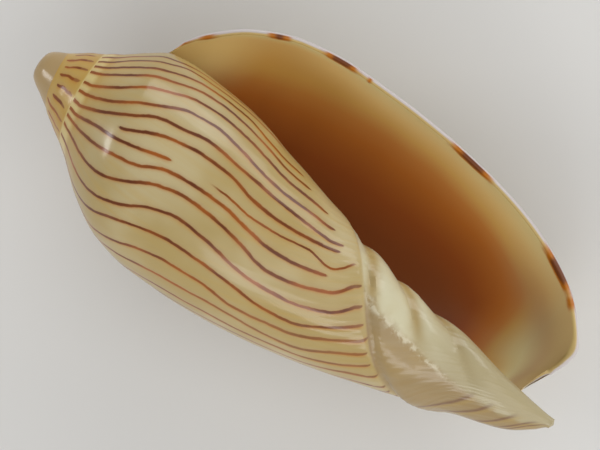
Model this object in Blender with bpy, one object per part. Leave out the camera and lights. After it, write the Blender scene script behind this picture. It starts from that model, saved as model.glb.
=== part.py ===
"""Volute shell with a wide open mouth, lying on its back on one small flat spot.

The shell is one grown piece. Its surface is swept in growth angle, the angle in degrees
turned back from the edge of the outer lip about the coiling axis. A "place" is a distance in
millimetres along that axis from the tip of the spire. Sizes below are in millimetres and
angles in degrees; the finished mesh is in metres.

Frame: +X runs from the spire to the front end, +Y to the side of the outer lip, and +Z out of
the open mouth. The origin is the middle of the flat spot under the back.
"""

import math

import bmesh
import bpy
import numpy as np
from mathutils import Vector

MILLIMETRE = 0.001

# Main sizes
LENGTH = 90.0
TIP_RADIUS = 0.75
TIP_CROWN = 0.35
WALL = 1.5
LIP_WALL = 0.8
SCALE_PER_TURN = 0.543

# Suture: its place along the axis for each growth angle
SUTURE_ANGLES = (0, 90, 180, 270, 360, 450, 540, 630, 720, 810, 900, 990, 1080)
SUTURE_PLACES = (14.6, 12.5, 10.1, 8.4, 7.4, 6.2, 4.9, 3.7, 2.7, 1.9, 1.4, 0.9, 0.7)

# Ridge that parts the body whorl from the fasciole
RIDGE_ANGLES = (0, 35, 90, 180, 270, 360, 450, 540, 720)
RIDGE_PLACES = (92.7, 87.2, 79.7, 68.7, 58.4, 48.7, 41.8, 36.1, 27.2)
RIDGE_GROOVE = 0.45
RIDGE_SWELL = 0.2

# Radius of the spire, a low cone with a rounded first whorl
SPIRE_PLACES = (0.0, 0.2, 0.5, 0.9, 1.5, 2.1, 2.7, 4.4, 5.5, 6.7, 7.8, 9.5, 11.2, 12.9, 15.4)
SPIRE_RADII = (0.0, 1.4, 2.1, 2.5, 2.9, 3.2, 3.5, 4.6, 5.4, 6.1, 6.8, 7.9, 9.3, 10.6, 12.3)
WHORL_SWELL = 0.1

# Radius of the body whorl between the suture (0) and the ridge (1)
BODY_STATIONS = (0.0, 0.008, 0.02, 0.05, 0.1, 0.2, 0.3, 0.4, 0.5, 0.6, 0.7, 0.8, 0.9, 1.0)
BODY_AT_LIP = (11.8, 13.7, 15.5, 18.2, 21.4, 24.7, 25.7, 25.6, 25.2, 24.4, 23.1, 21.1, 18.0, 13.3)
BODY_AT_HALF = (8.3, 8.6, 9.1, 10.6, 12.9, 15.9, 16.9, 16.9, 16.5, 15.7, 14.5, 13.0, 11.2, 9.4)
BODY_AT_TURN = (6.5, 6.7, 7.1, 7.9, 9.5, 12.1, 12.5, 12.3, 12.0, 11.3, 10.1, 9.1, 8.0, 7.1)

# Radius of the front pillar between the ridge (0) and the tip (1)
PILLAR_STATIONS = (0.0, 0.1, 0.2, 0.3, 0.4, 0.5, 0.6, 0.7, 0.8, 0.9, 0.97, 1.0)
PILLAR_AT_HALF = (9.4, 9.2, 8.6, 7.6, 6.8, 6.2, 5.6, 4.9, 3.9, 2.4, 1.3, 0.75)
PILLAR_AT_TURN = (7.1, 4.4, 3.9, 3.3, 2.8, 2.6, 2.15, 1.65, 1.45, 1.0, 0.8, 0.75)

# Plaits of the pillar: the grooves between them, and how high each stands
PLAIT_GROOVES = (45.2, 52.3, 59.2, 66.6, 78.7)
PLAIT_HEIGHTS = (0.5, 1.3, 0.9, 0.9)
PLAIT_PITCH = 0.0013

# Growth line, from the suture (0) to the tip of the pillar (1): how far each part of it trails
# the suture, its share of the body whorl, and its offset from the ridge beside the notch.
FRONT_CORNER = 0.72
NOTCH = 0.8
JUNCTION = 0.86
LINE_STATIONS = (0.0, 0.3, 0.45, 0.6, 0.68, 0.72, 0.76, 0.8, 0.86, 1.0)
LINE_LEAN = (0.0, 0.0, 3.0, 14.0, 27.0, 36.0, 62.0, 92.0, 122.0, 150.0)
BODY_LINE_STATIONS = (0.0, 0.3, 0.45, 0.6, 0.66, 0.7, 0.72)
BODY_LINE_SHARES = (0.0, 0.405, 0.63, 0.86, 0.938, 0.983, 1.0)
FRONT_STATIONS = (0.72, 0.735, 0.76, 0.78, 0.8)
FRONT_OFFSETS = (0.0, 0.8, 1.8, 2.6, 3.7)
PILLAR_LINE_STATIONS = (0.72, 0.76, 0.8, 0.86)
PILLAR_LINE_SHARES = (0.0, 0.29, 0.62, 1.0)
TIP_STATIONS = (0.86, 0.93, 1.0)
TIP_PLACES = (85.2, 87.5, LENGTH)

# Hollow of the last whorl
HOLLOW_DEPTH = 240.0
HOLLOW_CLOSES_FROM = 170.0
CANAL_FLOOR = 2.0

# How finely the surface is divided
STEPS_PER_TURN = 48
SPIRE_TURNS = 3
SHOULDER_ROWS = 5
ROWS_UP_TO = ((0.66, 13), (0.72, 4), (0.8, 7), (0.86, 6), (1.0, 5))
RIM_STEPS = 3

# How deep the flat spot under the back is cut
FLAT_SPOT_DEPTH = 0.6

SHELL_COLOUR = (0.74, 0.63, 0.42, 1.0)
SHELL_ROUGHNESS = 0.18


def smooth_curve(stations, values, at):
    """Smooth curve through the values that never overshoots between two of them."""
    x = np.asarray(stations, float)
    y = np.asarray(values, float)
    step = np.diff(x)
    slope = np.diff(y) / step
    tangent = np.zeros_like(y)
    same_way = slope[:-1] * slope[1:] > 0
    near = 2 * step[1:] + step[:-1]
    far = step[1:] + 2 * step[:-1]
    safe = np.where(same_way, slope[:-1], 1.0), np.where(same_way, slope[1:], 1.0)
    tangent[1:-1] = np.where(same_way, (near + far) / (near / safe[0] + far / safe[1]), 0.0)
    tangent[0] = slope[0]
    tangent[-1] = slope[-1]
    at = np.clip(at, x[0], x[-1])
    i = np.clip(np.searchsorted(x, at) - 1, 0, len(x) - 2)
    t = (at - x[i]) / step[i]
    return (
        y[i] * (2 * t**3 - 3 * t**2 + 1)
        + y[i + 1] * (3 * t**2 - 2 * t**3)
        + step[i] * tangent[i] * (t**3 - 2 * t**2 + t)
        + step[i] * tangent[i + 1] * (t**3 - t**2)
    )


def ease(start, end, at):
    """Smooth step from 0 at start to 1 at end."""
    t = np.clip((at - start) / (end - start), 0.0, 1.0)
    return t * t * (3 - 2 * t)


def suture_place(angle):
    return smooth_curve(SUTURE_ANGLES, SUTURE_PLACES, angle)


def ridge_place(angle):
    return smooth_curve(RIDGE_ANGLES, RIDGE_PLACES, angle)


def spire_radius(place):
    return smooth_curve(SPIRE_PLACES, SPIRE_RADII, place)


def grown(angle, at_lip, at_half, at_turn):
    """Radius between the three measured sections, and shrinking steadily before them."""
    half = math.sqrt(SCALE_PER_TURN)
    known = [np.log(at_lip), np.log(at_half), np.log(at_turn)]
    known += [known[2] + n * math.log(half) for n in range(1, 4)]
    angle, *known = np.broadcast_arrays(angle, *known)
    known = np.stack(known, -1)
    at = np.clip(angle / 180.0, 0.0, 4.0)
    i = np.clip(np.floor(at).astype(int), 0, 3)
    t = at - i

    def pick(n):
        return np.take_along_axis(known, np.clip(n, 0, 5)[..., None], -1)[..., 0]

    first, second, third = pick(i), pick(i + 1), pick(i + 2)
    before = np.where(i == 0, 2 * first - second, pick(i - 1))
    rise, fall = (second - before) / 2, (third - first) / 2
    return np.exp(
        first * (2 * t**3 - 3 * t**2 + 1)
        + second * (3 * t**2 - 2 * t**3)
        + rise * (t**3 - 2 * t**2 + t)
        + fall * (t**3 - t**2)
    )


def body_radius(angle, place):
    """Radius of the whorl between its suture and the ridge."""
    start = suture_place(angle)
    share = np.clip((place - start) / (ridge_place(angle) - start), 0.0, 1.0)
    rows = [smooth_curve(BODY_STATIONS, row, share) for row in (BODY_AT_LIP, BODY_AT_HALF, BODY_AT_TURN)]
    at_suture = grown(angle, BODY_AT_LIP[0], BODY_AT_HALF[0], BODY_AT_TURN[0])
    grip = (spire_radius(start) - at_suture) * np.clip(1 - share / 0.15, 0.0, 1.0) ** 2
    return grown(angle, *rows) + grip


def pillar_radius(angle, place):
    """Radius of the fasciole and pillar, from the ridge to the front tip."""
    start = ridge_place(angle)
    share = np.clip((place - start) / (LENGTH - start), 0.0, 1.0)
    at_ridge = grown(angle, BODY_AT_LIP[-1], BODY_AT_HALF[-1], BODY_AT_TURN[-1])
    half = smooth_curve(PILLAR_STATIONS, PILLAR_AT_HALF, share) / PILLAR_AT_HALF[0]
    turn = smooth_curve(PILLAR_STATIONS, PILLAR_AT_TURN, share) / PILLAR_AT_TURN[0]
    blend = np.clip((angle - 180.0) / 180.0, 0.0, 1.0)
    radius = at_ridge * (half * (1 - blend) + turn * blend)
    radius = radius + (TIP_RADIUS - radius) * np.clip((share - 0.92) / 0.08, 0.0, 1.0) ** 2
    return radius + plaits(angle, place)


def plaits(angle, place):
    """Height of the oblique folds that wind up the pillar like the strands of a rope."""
    back = place * np.exp(PLAIT_PITCH * (angle - 360.0))
    height = np.zeros_like(back)
    for start, end, top in zip(PLAIT_GROOVES, PLAIT_GROOVES[1:], PLAIT_HEIGHTS):
        across = np.clip((back - start) / (end - start), 0.0, 1.0)
        height = height + top * np.sin(math.pi * across**0.65) ** 1.2
    height = height * ease(0.0, 1.5, place - ridge_place(angle))
    return height * ease(200.0, 300.0, angle) * ease(LENGTH - 3.0, LENGTH - 11.0, place)


def plain_radius(angle, place):
    """Radius of the whorls and the pillar, without the groove behind the ridge."""
    angle, place = np.broadcast_arrays(np.asarray(angle, float), np.asarray(place, float))
    start, end = suture_place(angle), ridge_place(angle)
    next_suture = suture_place(np.maximum(angle - 360.0, 0.0))
    radius = np.where(place <= end, body_radius(angle, place), pillar_radius(angle, place))
    joined = spire_radius(next_suture) - body_radius(angle, next_suture)
    older = joined * np.clip(1 - (place - next_suture) / 5.7, 0.0, 1.0) ** 2
    radius = radius + np.where((angle >= 360.0) & (place <= end), older, 0.0)
    band = np.clip((place - start) / np.maximum(next_suture - start, 1e-6), 0.0, 1.0)
    spire = spire_radius(place) + WHORL_SWELL * np.sin(math.pi * band)
    return np.where((angle >= 360.0) & (place <= next_suture), spire, radius)


def ridge_relief(angle, place):
    """The groove that runs along the ridge, and the low swell in front of it."""
    beyond = place - ridge_place(angle)
    groove = RIDGE_GROOVE * np.exp(-(((beyond - 0.4) / 0.7) ** 2)) * ease(20.0, 60.0, angle)
    return RIDGE_SWELL * np.exp(-(((beyond - 2.6) / 1.4) ** 2)) - groove


def shell_radius(angle, place):
    """Radius of the outer surface, and of the older whorls that it wraps."""
    return plain_radius(angle, place) + ridge_relief(angle, place)


def line_lean(along):
    return smooth_curve(LINE_STATIONS, LINE_LEAN, along)


def line_place(turned, along):
    """Place of the growth line that started a given angle ago."""
    angle = turned + line_lean(along)
    share = smooth_curve(BODY_LINE_STATIONS, BODY_LINE_SHARES, along)
    on_body = suture_place(angle) + (ridge_place(angle) - suture_place(angle)) * share
    notch_side = ridge_place(turned + line_lean(np.minimum(along, NOTCH)))
    notch_side = notch_side + smooth_curve(FRONT_STATIONS, FRONT_OFFSETS, along)
    far_side = np.clip((along - NOTCH) / (JUNCTION - NOTCH), 0.0, 1.0)
    notch_side = notch_side + (TIP_PLACES[0] - notch_side) * far_side
    corner = ridge_place(turned + line_lean(FRONT_CORNER))
    share = smooth_curve(PILLAR_LINE_STATIONS, PILLAR_LINE_SHARES, along)
    on_pillar = corner + (TIP_PLACES[0] - corner) * share
    on_front = notch_side + (on_pillar - notch_side) * ease(0.0, 200.0, turned)
    on_tip = smooth_curve(TIP_STATIONS, TIP_PLACES, along)
    return np.where(along <= FRONT_CORNER, on_body, np.where(along <= JUNCTION, on_front, on_tip))


def points_at(angle, place, radius):
    """Points from cylinder coordinates: X along the axis, Y to the lip, Z up out of the mouth."""
    turn = np.radians(angle)
    return np.stack([place, radius * np.cos(turn), -radius * np.sin(turn)], -1)


def shoulder_share():
    """Where the older growth line meets the back corner of the mouth."""
    along = np.linspace(0.0, 0.3, 3001)
    return float(np.interp(SUTURE_PLACES[0], line_place(360.0, along), along))


def line_rows():
    """Stations along a growth line, closer together over the plaits and the notch."""
    start = shoulder_share()
    rows = [np.linspace(0.0, start, SHOULDER_ROWS, endpoint=False)]
    for end, count in ROWS_UP_TO:
        rows.append(np.linspace(start, end, count, endpoint=False))
        start = end
    return np.concatenate([*rows, [1.0]])


def flare(along):
    """How fully the pillar has opened out to the wall beside the notch."""
    return ease(JUNCTION - 0.02, JUNCTION, along)


def outer_surface(turned, along, radius_at=shell_radius):
    """Points of the outside of the last whorl, from the lip to one turn back."""
    angle = turned + line_lean(along)
    place = line_place(turned, along)
    radius = radius_at(angle, place)
    at_lip = np.maximum(along, JUNCTION)
    target = radius_at(line_lean(at_lip), line_place(0.0, at_lip))
    radius = radius + (target - radius) * flare(along) * ease(262.0, 360.0, turned)
    return points_at(angle, place, radius)


def spire_surface(angle, share):
    """Points of the older whorls, from their suture to the next."""
    upper, lower = suture_place(angle), suture_place(angle - 360.0)
    close = ease(360.0 * SPIRE_TURNS - 40.0, 360.0 * SPIRE_TURNS, angle)
    upper = upper + (lower - upper) * close
    place = upper + (lower - upper) * share
    swell = WHORL_SWELL * np.sin(math.pi * share) * (1 - close)
    return points_at(angle, place, spire_radius(place) + swell)


def outward(turned, along):
    """Unit normals of the outer surface, leaving out the groove."""
    step = 0.25
    ahead = outer_surface(turned + step, along, plain_radius)
    across = ahead - outer_surface(turned - step, along, plain_radius)
    before, after = np.clip(along - 0.002, 0.0, 1.0), np.clip(along + 0.002, 0.0, 1.0)
    down = outer_surface(turned, after, plain_radius) - outer_surface(turned, before, plain_radius)
    normal = np.cross(down, across)
    return normal / np.linalg.norm(normal, axis=-1, keepdims=True)


def hollow_corners(turned):
    """Where the hollow's two sides meet: below the suture, and on the floor of the canal.

    Each corner is an angle, a place and a radius; the last value is how far down the growth
    line the canal's floor lies.
    """
    need = 2 * LIP_WALL * ease(0.0, 25.0, turned)
    steps = np.linspace(0.0, 12.0, 241)[:, None]
    places = suture_place(turned) + steps
    gap = shell_radius(turned, places) - shell_radius(turned + 360.0, places)
    first = np.argmax(gap >= need, axis=0)
    top_place = suture_place(turned) + steps[first, 0] * ease(0.0, 10.0, turned)
    top_radius = (shell_radius(turned, top_place) + shell_radius(turned + 360.0, top_place)) / 2
    last = JUNCTION + (NOTCH - JUNCTION) * ease(0.0, 70.0, turned)
    floor_angle = turned + line_lean(last)
    floor_place = line_place(turned, last)
    floor_radius = shell_radius(floor_angle, floor_place) - CANAL_FLOOR * ease(0.0, 30.0, turned)
    return (turned, top_place, top_radius), (floor_angle, floor_place, floor_radius), last


def inner_side(turned, along):
    """Points of the hollow's inner side: the older whorl and the pillar inside the mouth."""
    top, floor, last = hollow_corners(turned)
    shoulder = shoulder_share()
    angle = 360.0 + turned + line_lean(last) * line_lean(along) / line_lean(JUNCTION)
    ends = line_place(360.0, np.array([shoulder, JUNCTION]))
    share = (line_place(360.0, along) - ends[0]) / (ends[1] - ends[0])
    place = top[1] + (floor[1] - top[1]) * share
    relief = plaits(angle, place) + ridge_relief(angle, place)
    radius = shell_radius(angle, place) - relief * ease(100.0, 200.0, turned)
    corner = top[2] - shell_radius(360.0 + turned, top[1])
    radius = radius + corner * np.clip(1 - (along - shoulder) / 0.05, 0.0, 1.0) ** 2
    radius = radius + (floor[2] - radius) * flare(along)
    return points_at(angle, place, radius)


def outer_side(turned, along):
    """Points of the hollow's outer side: the inside of the wall behind the lip."""
    top, floor, last = hollow_corners(turned)
    near = along * last / JUNCTION
    angle = turned + line_lean(near)
    place = line_place(turned, near)
    place = place + (top[1] - suture_place(turned)) * np.clip(1 - near / 0.3, 0.0, 1.0) ** 2
    wall = LIP_WALL + (WALL - LIP_WALL) * ease(0.0, 40.0, turned)
    side = points_at(angle, place, plain_radius(angle, place)) - outward(turned, near) * wall[..., None]
    at_top, at_floor = points_at(*top), points_at(*floor)
    near_top = np.clip(1 - along / 0.04, 0.0, 1.0)[..., None] ** 2
    near_floor = ease(JUNCTION - 0.03, JUNCTION, along)[..., None]
    side = side + (at_top - side[:1]) * near_top + (at_floor - side[-1:]) * near_floor
    to_end = np.clip((turned - HOLLOW_CLOSES_FROM) / (HOLLOW_DEPTH - HOLLOW_CLOSES_FROM), 0.0, 1.0)
    still_open = np.sqrt(1 - to_end**2)[..., None]
    end = inner_side(turned, np.maximum(along, shoulder_share()))
    return end + (side - end) * still_open


def rim(along):
    """Points round the edge of the lip, from the outside to the inside."""
    outside = outer_surface(0.0, along)
    inside = outer_side(np.zeros(1), along[:, None])[:, 0]
    middle, half = (outside + inside) / 2, (outside - inside) / 2
    forward = outside - outer_surface(0.5, along)
    down = np.gradient(outside, axis=0)
    down /= np.linalg.norm(down, axis=-1, keepdims=True)
    forward -= down * (forward * down).sum(-1, keepdims=True)
    forward /= np.linalg.norm(forward, axis=-1, keepdims=True)
    width = np.linalg.norm(half, axis=-1, keepdims=True)
    rows = []
    for step in range(RIM_STEPS + 1):
        turn = math.pi * step / RIM_STEPS
        rows.append(middle + half * math.cos(turn) + forward * width * math.sin(turn))
    return np.stack(rows, 1)


def spire_cap(angle, share):
    """Points of the top of the spire, from the last suture to its middle."""
    upper = suture_place(angle)
    close = ease(360.0 * SPIRE_TURNS - 40.0, 360.0 * SPIRE_TURNS, angle)
    upper = upper + (suture_place(angle - 360.0) - upper) * close
    place = upper * (1 - share) ** 2
    return points_at(angle, place, spire_radius(place))


def tip_cap(turned, share):
    """Points of the blunt front tip, from its edge to its middle."""
    edge = outer_surface(turned, np.ones_like(turned))
    middle = np.array([LENGTH + TIP_CROWN, 0.0, 0.0])
    return edge * (1 - share[..., None]) + middle * share[..., None]


def add_sheet(mesh, points):
    """Adds a sheet of four-sided faces through rows of points: a loft of unlike sections."""
    rows = [[mesh.verts.new(Vector(point) * MILLIMETRE) for point in row] for row in points]
    for upper, lower in zip(rows, rows[1:]):
        for i in range(len(upper) - 1):
            mesh.faces.new((upper[i], upper[i + 1], lower[i + 1], lower[i]))


def grown_mesh():
    """The whole shell as one closed mesh, with the coiling axis along X."""
    mesh = bmesh.new()
    step = 360.0 / STEPS_PER_TURN
    rows = line_rows()
    shoulder = shoulder_share()
    turn = np.linspace(0.0, 360.0, STEPS_PER_TURN + 1)[None, :]
    whorls = np.arange(STEPS_PER_TURN, SPIRE_TURNS * STEPS_PER_TURN + 1)[None, :] * step
    deep = np.linspace(0.0, HOLLOW_DEPTH, round(HOLLOW_DEPTH / step) + 1)
    open_rows = rows[rows <= JUNCTION + 1e-9]
    inner_rows = open_rows[open_rows >= shoulder - 1e-9]
    one_turn_back = float(suture_place(360.0))
    older_share = line_place(360.0, rows[rows <= shoulder + 1e-9]) - one_turn_back
    older_share = older_share / (SUTURE_PLACES[0] - one_turn_back)
    add_sheet(mesh, outer_surface(*np.broadcast_arrays(turn, rows[:, None])))
    add_sheet(mesh, spire_surface(*np.broadcast_arrays(whorls, older_share[:, None])))
    add_sheet(mesh, inner_side(deep, inner_rows[:, None]))
    add_sheet(mesh, outer_side(deep, open_rows[:, None]))
    add_sheet(mesh, rim(open_rows))
    first_whorl = whorls[:, -STEPS_PER_TURN - 1:]
    add_sheet(mesh, spire_cap(*np.broadcast_arrays(first_whorl, np.linspace(0, 1, 5)[:, None])))
    add_sheet(mesh, tip_cap(*np.broadcast_arrays(turn, np.linspace(0, 1, 2)[:, None])))
    bmesh.ops.remove_doubles(mesh, verts=mesh.verts, dist=0.002 * MILLIMETRE)
    bmesh.ops.recalc_face_normals(mesh, faces=mesh.faces)
    return mesh


def lay_down(mesh):
    """Cuts the small flat spot under the back and sets the shell down on the origin with it."""
    lowest = min(vertex.co.z for vertex in mesh.verts)
    depth = FLAT_SPOT_DEPTH * MILLIMETRE
    bmesh.ops.translate(mesh, vec=(0.0, 0.0, -lowest - depth), verts=mesh.verts)
    everything = mesh.verts[:] + mesh.edges[:] + mesh.faces[:]
    cut = bmesh.ops.bisect_plane(
        mesh, geom=everything, dist=1e-7, plane_co=(0, 0, 0), plane_no=(0, 0, -1), clear_outer=True
    )
    edge = [item for item in cut["geom_cut"] if isinstance(item, bmesh.types.BMEdge)]
    spot = bmesh.ops.contextual_create(mesh, geom=edge)["faces"][0]
    corners = [vertex.co for vertex in spot.verts]
    middle = [(min(c[i] for c in corners) + max(c[i] for c in corners)) / 2 for i in (0, 1)]
    bmesh.ops.translate(mesh, vec=(-middle[0], -middle[1], 0.0), verts=mesh.verts)
    bmesh.ops.recalc_face_normals(mesh, faces=mesh.faces)


def shell_material():
    material = bpy.data.materials.new("shell_cream")
    material.use_nodes = True
    surface = material.node_tree.nodes["Principled BSDF"]
    surface.inputs["Base Color"].default_value = SHELL_COLOUR
    surface.inputs["Roughness"].default_value = SHELL_ROUGHNESS
    surface.inputs["Metallic"].default_value = 0.0
    return material


def clear_scene():
    for item in list(bpy.data.objects):
        bpy.data.objects.remove(item, do_unlink=True)


def build_shell():
    mesh = grown_mesh()
    lay_down(mesh)
    data = bpy.data.meshes.new("shell")
    mesh.to_mesh(data)
    mesh.free()
    data.materials.append(shell_material())
    data.shade_smooth()
    data.set_sharp_from_angle(angle=math.radians(40.0))
    shell = bpy.data.objects.new("shell", data)
    collection = bpy.data.collections.new("volute_shell")
    bpy.context.scene.collection.children.link(collection)
    collection.objects.link(shell)


clear_scene()
build_shell()
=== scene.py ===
"""Looks of the volute shell: its fine surface, its drawn line pattern, and the table it lies on.

The surface follows the same growth angles, places and sections as the part's source, only
divided more finely. Sizes of the shell are in millimetres and degrees; meshes are in metres.
"""

import logging
import math
from dataclasses import dataclass, replace
from enum import Enum

import bmesh
import bpy
import numpy as np
from mathutils import Matrix, Vector


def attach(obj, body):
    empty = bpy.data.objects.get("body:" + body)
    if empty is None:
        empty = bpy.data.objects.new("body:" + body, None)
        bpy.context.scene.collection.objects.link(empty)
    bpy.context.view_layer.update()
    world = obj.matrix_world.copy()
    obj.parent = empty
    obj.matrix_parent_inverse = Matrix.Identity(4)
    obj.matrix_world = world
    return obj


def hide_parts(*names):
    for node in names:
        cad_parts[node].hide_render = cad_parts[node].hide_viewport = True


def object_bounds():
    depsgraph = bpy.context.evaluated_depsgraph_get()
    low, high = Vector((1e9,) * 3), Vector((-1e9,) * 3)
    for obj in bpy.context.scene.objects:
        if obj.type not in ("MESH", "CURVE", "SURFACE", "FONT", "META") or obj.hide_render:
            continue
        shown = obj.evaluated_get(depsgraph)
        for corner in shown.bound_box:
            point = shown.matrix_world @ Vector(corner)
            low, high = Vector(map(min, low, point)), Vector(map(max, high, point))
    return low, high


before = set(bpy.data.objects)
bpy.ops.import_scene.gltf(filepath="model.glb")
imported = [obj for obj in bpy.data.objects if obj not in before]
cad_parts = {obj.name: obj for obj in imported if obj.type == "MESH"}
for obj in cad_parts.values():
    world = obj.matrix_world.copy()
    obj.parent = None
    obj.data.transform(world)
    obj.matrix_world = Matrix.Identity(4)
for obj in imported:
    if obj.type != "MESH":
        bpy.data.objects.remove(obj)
cad_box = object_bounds()

LOG = logging.getLogger("volute_shell")
MILLIMETRE = 0.001
TINY = 1e-9
Numbers = tuple[float, ...]
Array = np.ndarray


class Side(Enum):
    """Which side of the shell a patch of surface belongs to, as the ink map stores it."""

    OUTSIDE = 0.0
    MOUTH_WALL = 1.0
    MOUTH_PILLAR = 2.0
    RIM = 3.0
    SPIRE = 4.0


def ease(start: float, end: float, at: Array | float) -> Array:
    """Smooth step between two values.

    Args:
        start: Where the step is 0.
        end: Where the step is 1.
        at: Where to read it.

    Returns:
        The step at each place.
    """
    t = share_of(np.asarray(at, float), start, end)
    return t * t * (3 - 2 * t)


def share_of(at: Array, start: Array | float, end: Array | float) -> Array:
    """Share of the way from a start to an end, held between 0 and 1."""
    return np.clip((at - start) / (end - start), 0.0, 1.0)


def fading(away: Array, reach: float) -> Array:
    """Falls softly from 1 at no distance to 0 at the reach."""
    return np.clip(1 - away / reach, 0.0, 1.0) ** 2


def hump(at: Array, middle: float, width: float) -> Array:
    """Smooth hump, 1 at the middle and falling off over the width."""
    return np.exp(-(((at - middle) / width) ** 2))


def cubic(t: Array, first: Array, second: Array, rise: Array, fall: Array) -> Array:
    """Cubic between two values, with a given slope at each.

    Args:
        t: Shares of the way from the first to the second.
        first: Values at share 0.
        second: Values at share 1.
        rise: Slopes at share 0.
        fall: Slopes at share 1.

    Returns:
        The value at each share.
    """
    return (
        first * (2 * t**3 - 3 * t**2 + 1)
        + second * (3 * t**2 - 2 * t**3)
        + rise * (t**3 - 2 * t**2 + t)
        + fall * (t**3 - t**2)
    )


def add_object(name: str, data: bpy.types.ID) -> bpy.types.Object:
    """Puts data into the scene as an object.

    Args:
        name: Name of the object.
        data: Mesh, light or camera.

    Returns:
        The object.
    """
    made = bpy.data.objects.new(name, data)
    bpy.context.scene.collection.objects.link(made)
    return made


def add_mesh(name: str, mesh: bmesh.types.BMesh) -> bpy.types.Object:
    """Puts a mesh into the scene as an object, and frees it.

    Args:
        name: Name of the object and its data.
        mesh: The finished mesh.

    Returns:
        The object.
    """
    data = bpy.data.meshes.new(name)
    mesh.to_mesh(data)
    mesh.free()
    return add_object(name, data)


@dataclass(frozen=True)
class Curve:
    """Smooth curve through values at rising stations, which never overshoots between two."""

    stations: Numbers
    values: Numbers

    def at(self, where: Array | float) -> Array:
        """Value of the curve at each place.

        Args:
            where: Places along the stations.

        Returns:
            The interpolated values.
        """
        x, y = np.asarray(self.stations, float), np.asarray(self.values, float)
        step = np.diff(x)
        slope = np.diff(y) / step
        tangent = np.zeros_like(y)
        same_way = slope[:-1] * slope[1:] > 0
        near, far = 2 * step[1:] + step[:-1], step[1:] + 2 * step[:-1]
        first, second = np.where(same_way, slope[:-1], 1.0), np.where(same_way, slope[1:], 1.0)
        tangent[1:-1] = np.where(same_way, (near + far) / (near / first + far / second), 0.0)
        tangent[0], tangent[-1] = slope[0], slope[-1]
        where = np.clip(where, x[0], x[-1])
        i = np.clip(np.searchsorted(x, where) - 1, 0, len(x) - 2)
        t = (where - x[i]) / step[i]
        return cubic(t, y[i], y[i + 1], step[i] * tangent[i], step[i] * tangent[i + 1])


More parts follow.
